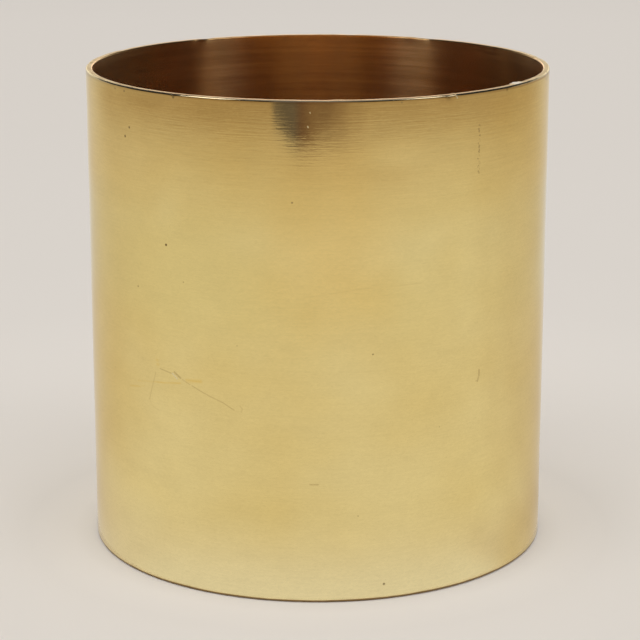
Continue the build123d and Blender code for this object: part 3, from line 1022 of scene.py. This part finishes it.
wl.nt.links.new(em.outputs[0], wl.out.inputs["Surface"])
card("stage_room_card", [polar(0.80, 4 * k, z) for z in (0.0, 0.16) for k in range(90)],
     [(k, (k + 1) % 90, 90 + (k + 1) % 90, 90 + k) for k in range(90)], wl.mat)

# Dim flats round the viewer's side, above the table, and a dim ceiling: what the inside of the pot mirrors between
# the soft boxes.
sf = Net("stage_flat_card")
fx, fy, fz = sf.node("ShaderNodeSeparateXYZ", sf.coord).outputs
faz = sf.madd(sf.math("ARCTAN2", fx, sf.mul(fy, -1.0)), 180.0 / PI / 360.0, 0.5)
dim = sf.mix(sf.step(fz, 0.25, 0.55), (0.042, 0.031, 0.020), (0.014, 0.017, 0.022))
rear = sf.ramp(faz, [(at(-160), 1.0), (at(-120), 0.0), (at(120), 0.0), (at(160), 1.0)], "EASE")
up = sf.step(fz, 0.27, 0.48)
behind = sf.ramp(faz, [(at(-176.6), (1.70, 1.30, 0.94)), (at(-174.0), (1.10, 0.86, 0.62)), (at(-170.5), (1.00, 0.92, 0.72)),
                       (at(170.5), (1.00, 0.92, 0.72)), (at(174.0), (1.10, 0.86, 0.62)), (at(176.6), (1.70, 1.30, 0.94))])
em = sf.node("ShaderNodeEmission", sf.mix(sf.mul(rear, sf.madd(up, -0.90, 1.0)), dim, behind))
sf.nt.links.new(em.outputs[0], sf.out.inputs["Surface"])
card("stage_flat", [polar(0.82, 4 * k, z) for z in (0.14, 1.3) for k in range(90)],
     [(k, (k + 1) % 90, 90 + (k + 1) % 90, 90 + k) for k in range(90)], sf.mat)
ce = Net("stage_ceiling_card")
em = ce.node("ShaderNodeEmission", (0.30, 0.28, 0.26, 1.0))
ce.nt.links.new(em.outputs[0], ce.out.inputs["Surface"])
card("stage_ceiling", [polar(0.83, 12 * k, 1.3) for k in range(30)], [tuple(range(30))], ce.mat)

# Something brown close in front, which only the inside of the pot mirrors: an arc over the near rim that glows on its
# inner side, a painted reflection.
mo = Net("stage_mouth_card")
ox, oy, _ = mo.node("ShaderNodeSeparateXYZ", mo.coord).outputs
oaz = mo.madd(mo.math("ARCTAN2", ox, mo.mul(oy, -1.0)), 180.0 / PI / 360.0, 0.5)
em = mo.node("ShaderNodeEmission", (0.66, 0.232, 0.020, 1.0))
clear = mo.node("ShaderNodeBsdfTransparent")
inside = mo.node("ShaderNodeNewGeometry").outputs["Backfacing"]
blend = mo.node("ShaderNodeMixShader", mo.mul(mo.ramp(oaz, [(at(-86), 0.0), (at(-64), 1.0), (at(62), 1.0), (at(84), 0.0)], "EASE"), inside), clear.outputs[0], em.outputs[0])
mo.nt.links.new(blend.outputs[0], mo.out.inputs["Surface"])
card("stage_mouth", [polar(0.050, 4 * k - 88, z) for z in (0.1275, 0.178) for k in range(45)],
     [(k, k + 1, 45 + k + 1, 45 + k) for k in range(44)], mo.mat)

# The viewer's dark stand, low in front.
st = Net("stage_stand_card")
sx, sy, sz = st.node("ShaderNodeSeparateXYZ", st.coord).outputs
saz = st.madd(st.math("ARCTAN2", sx, st.mul(sy, -1.0)), 180.0 / PI / 60.0, 0.5)   # -30..30 degrees
shade = st.ramp(saz, [(0.5 - 22 / 60, (0.25, 0.19, 0.14)), (0.5 - 18.6 / 60, (0.165, 0.132, 0.112)), (0.5 - 15 / 60, (0.128, 0.104, 0.094)),
                      (0.5 - 11 / 60, (0.128, 0.103, 0.096)), (0.5 - 7.5 / 60, (0.145, 0.085, 0.062)), (0.5 - 3 / 60, (0.200, 0.122, 0.078)),
                      (0.5 + 4 / 60, (0.205, 0.128, 0.084)), (0.5 + 9 / 60, (0.225, 0.140, 0.092)), (0.5 + 15 / 60, (0.29, 0.19, 0.125))])
em = st.node("ShaderNodeEmission", shade)
# it fades out to its right, and downwards right of the middle, with a quick fade on its left
fade = st.mul(st.step(saz, 0.5 - 22.5 / 60, 0.5 - 19.0 / 60), st.ramp(saz, [(0.5 + 3 / 60, 1.0), (0.5 + 10 / 60, 0.72), (0.5 + 17 / 60, 0.28), (0.5 + 24 / 60, 0.0)], "EASE"))
soft = st.mul(st.step(saz, 0.5 - 6 / 60, 0.5 + 4 / 60), st.step(sz, 0.020, 0.0, 0.0, 0.62))
clear = st.node("ShaderNodeBsdfTransparent")
blend = st.node("ShaderNodeMixShader", st.mul(fade, st.sub(1.0, soft)), clear.outputs[0], em.outputs[0])
st.nt.links.new(blend.outputs[0], st.out.inputs["Surface"])
sd = np.linspace(-22.5, 24.0, 63)
hem = np.interp(sd, [-22.5, -18.5, -13.5, -9.0, -5.5, -3.0, 24.0], [15.5, 11.5, 4.5, 0.6, 0.3, 0.3, 0.3]) / 1000.0
card("stage_stand_card", [polar(0.645, float(d), float(z)) for d, z in zip(sd, hem)] + [polar(0.645, float(d), 0.42) for d in sd],
     [(k, k + 1, 63 + k + 1, 63 + k) for k in range(62)], st.mat)


def softbox(name, azimuth, elevation, distance, size, power, colour, on="table", aim=(0, 0, 0.05)):
    """A square light. on="table" lights the table only, on="brass" is the box the brass mirrors."""
    light = bpy.data.lights.new(name, "AREA")
    light.shape = "RECTANGLE"
    light.size, light.size_y = size
    light.energy = power
    light.color = colour
    ob = bpy.data.objects.new(name, light)
    a, e = math.radians(azimuth), math.radians(elevation)
    ob.location = Vector(aim) + distance * Vector((math.sin(a) * math.cos(e), -math.cos(a) * math.cos(e), math.sin(e)))
    ob.rotation_mode = "QUATERNION"
    ob.rotation_quaternion = (Vector(aim) - ob.location).to_track_quat("-Z", "Y")
    ob.visible_camera = False
    ob.visible_glossy = on == "brass"
    ob.visible_diffuse = on == "table"
    scene.collection.objects.link(ob)
    return ob


WHITE = (1.0, 0.985, 0.96)
WARM = (1.0, 0.90, 0.75)
softbox("soft_left", -50, 42, 1.6, (1.0, 1.0), 3.2, WHITE)
softbox("soft_right", 50, 42, 1.6, (1.0, 1.0), 3.2, WHITE)
softbox("soft_top", 0, 88, 2.2, (2.4, 2.4), 9.0, WHITE)
softbox("softbox_left", -58, 36, 0.75, (0.27, 0.36), 0.80, WARM, "brass")
softbox("softbox_right", 58, 36, 0.75, (0.25, 0.36), 0.50, WARM, "brass")

world = bpy.data.worlds.new("stage_world")
scene.world = world
world.use_nodes = True
wn = world.node_tree
wn.nodes.clear()
wo = wn.nodes.new("ShaderNodeOutputWorld")
bg = wn.nodes.new("ShaderNodeBackground")
bg.inputs[0].default_value = (0.80, 0.775, 0.74, 1)
bg.inputs[1].default_value = 0.81
wn.links.new(bg.outputs[0], wo.inputs["Surface"])

# -------------------------------------------------------------------- camera
cam = bpy.data.cameras.new("camera")
cam.sensor_width = 36.0
cam.lens = 125.45
cam.dof.use_dof = False
cam.clip_start, cam.clip_end = 0.01, 50.0
cam_ob = bpy.data.objects.new("camera", cam)
cam_ob.location = (0.0, -0.54941, 0.19866)
pitch = math.radians(14.759)
yaw = math.atan2(2.33, 2230.2)
look_dir = Vector((math.sin(yaw) * math.cos(pitch), math.cos(yaw) * math.cos(pitch), -math.sin(pitch)))
cam_ob.rotation_mode = "QUATERNION"
cam_ob.rotation_quaternion = look_dir.to_track_quat("-Z", "Y")
scene.collection.objects.link(cam_ob)
scene.camera = cam_ob

# --------------------------------------------------------------------- sizes
lo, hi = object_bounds()
